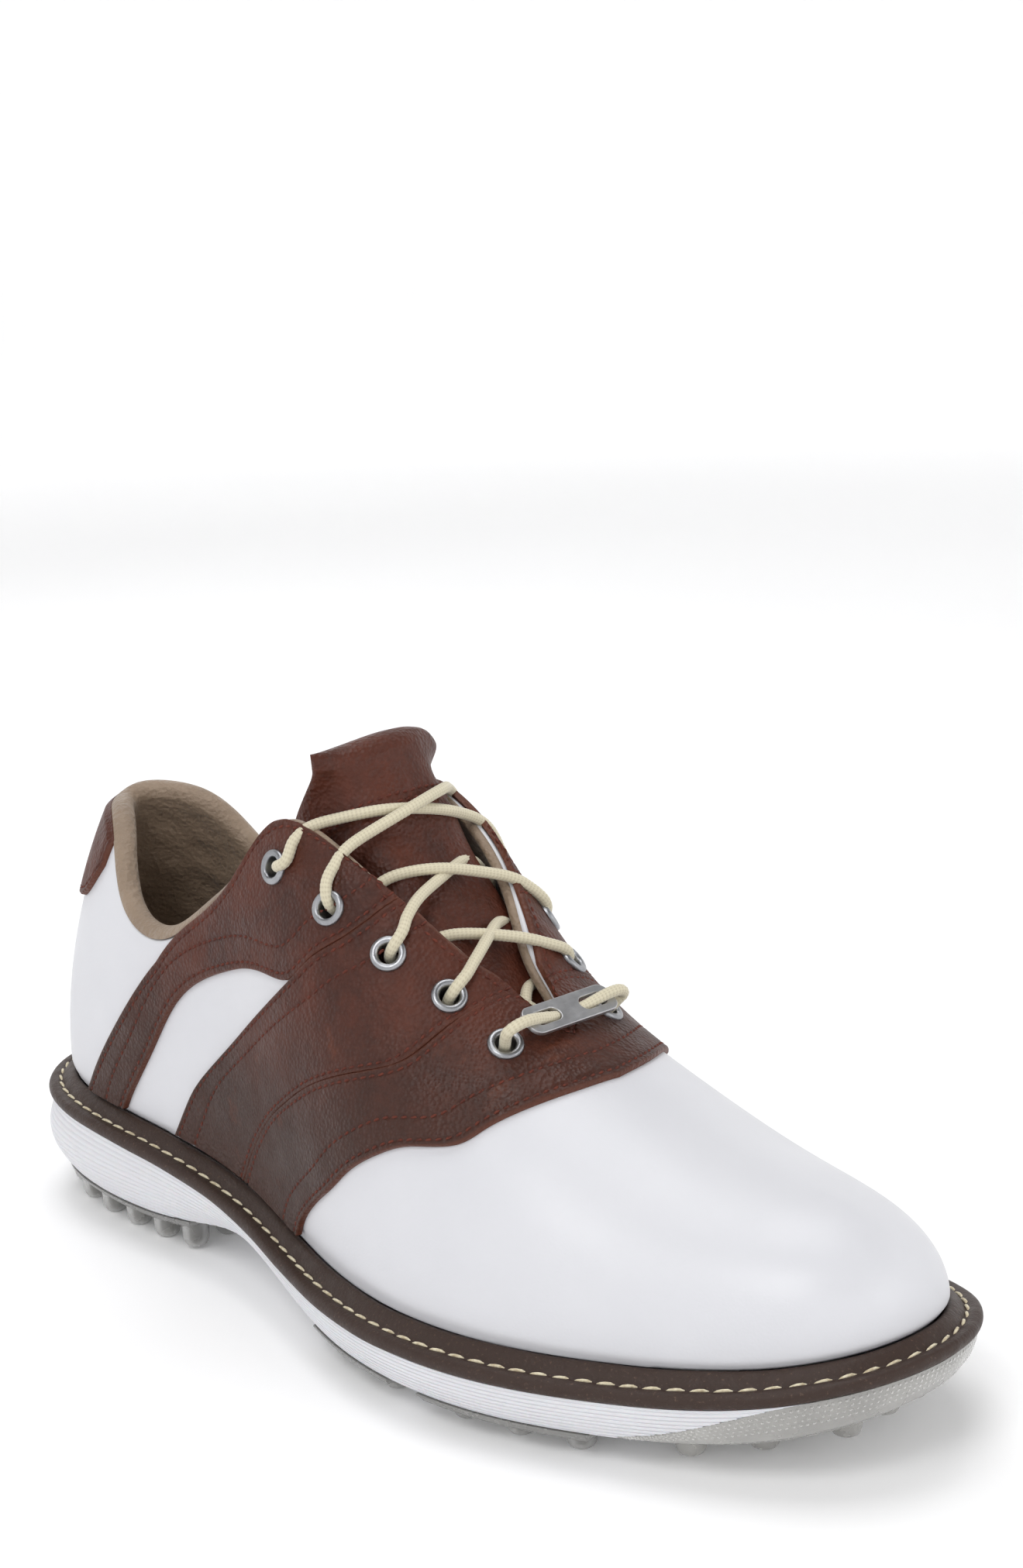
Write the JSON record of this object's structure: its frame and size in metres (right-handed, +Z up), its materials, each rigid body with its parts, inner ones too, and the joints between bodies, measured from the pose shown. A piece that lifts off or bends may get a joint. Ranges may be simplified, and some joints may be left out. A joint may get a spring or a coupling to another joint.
{
  "type": "golf shoe",
  "caption": "Laced low golf shoe for the right foot with a leather saddle, stitched welt, padded collar, hinged tongue, lace tag and lugged outsole.",
  "frame": {"origin": "on the ground under the middle of the shoe's box", "axes": "+X towards the toe, +Y towards the inner side of the foot, +Z up"},
  "size_m": [0.3008, 0.1118, 0.1428],
  "materials": {
    "white_leather": "smooth full-grain white leather with a satin sheen",
    "brown_leather": "oily pull-up leather, reddish brown, soft sheen",
    "welt_leather": "dark brown finely grained welt, dull",
    "lining": "thin tan lining leather, dull",
    "foam": "soft polyurethane foam under cloth, dull",
    "board": "pressed fibre board, dull",
    "midsole": "white moulded EVA foam, dull",
    "outsole": "clear grey moulded polyurethane, soft gloss",
    "shank_steel": "spring steel strip, hidden in the sole",
    "eyelet_metal": "plated eyelets, satin gunmetal",
    "tag_metal": "plated plate, satin dark steel with brighter edges",
    "cord": "braided round cream lace",
    "aglet_plastic": "clear plastic lace ends",
    "stitching": "waxed cream welt thread"
  },
  "bodies": {
    "shoe": {"aglet_lateral": "aglet_plastic", "aglet_medial": "aglet_plastic", "collar_foam": "foam", "eyelet_lateral_1": "eyelet_metal", "eyelet_lateral_2": "eyelet_metal", "eyelet_lateral_3": "eyelet_metal", "eyelet_lateral_4": "eyelet_metal", "eyelet_lateral_5": "eyelet_metal", "eyelet_medial_1": "eyelet_metal", "eyelet_medial_2": "eyelet_metal", "eyelet_medial_3": "eyelet_metal", "eyelet_medial_4": "eyelet_metal", "eyelet_medial_5": "eyelet_metal", "heel_counter": "board", "heel_tab": "brown_leather", "insole_board": "board", "lace": "cord", "midsole": "midsole", "outsole_ball_lateral": "outsole", "outsole_ball_medial": "outsole", "outsole_heel": "outsole", "outsole_toe": "outsole", "outsole_waist_lateral": "outsole", "outsole_waist_medial": "outsole", "quarter_lateral": "white_leather", "quarter_lining": "lining", "quarter_medial": "white_leather", "saddle_front": "brown_leather", "saddle_middle_lateral": "brown_leather", "saddle_middle_medial": "brown_leather", "saddle_rear_lateral": "brown_leather", "saddle_rear_medial": "brown_leather", "shank": "shank_steel", "sockliner": "foam", "toe_puff": "board", "vamp": "white_leather", "vamp_lining": "lining", "welt": "welt_leather", "welt_thread": "stitching"},
    "tongue": {"tongue_face": "brown_leather", "tongue_foam": "foam", "tongue_lining": "lining"},
    "lace_tag": {"lace_tag": "tag_metal"}
  },
  "joints": [
    {"name": "tongue_hinge", "type": "hinge", "parent": "shoe", "child": "tongue", "pos_m": [0.06655, 0.0016, 0.0575], "axis": [0, 1, 0], "range_deg": [-6, 0], "stiffness_Nm_per_rad": 0.6},
    {"name": "lace_tag_slide", "type": "slide", "parent": "shoe", "child": "lace_tag", "axis": [0.0066, 1, -0.0055], "range_m": [-0.0008, 0.0008]}
  ]
}
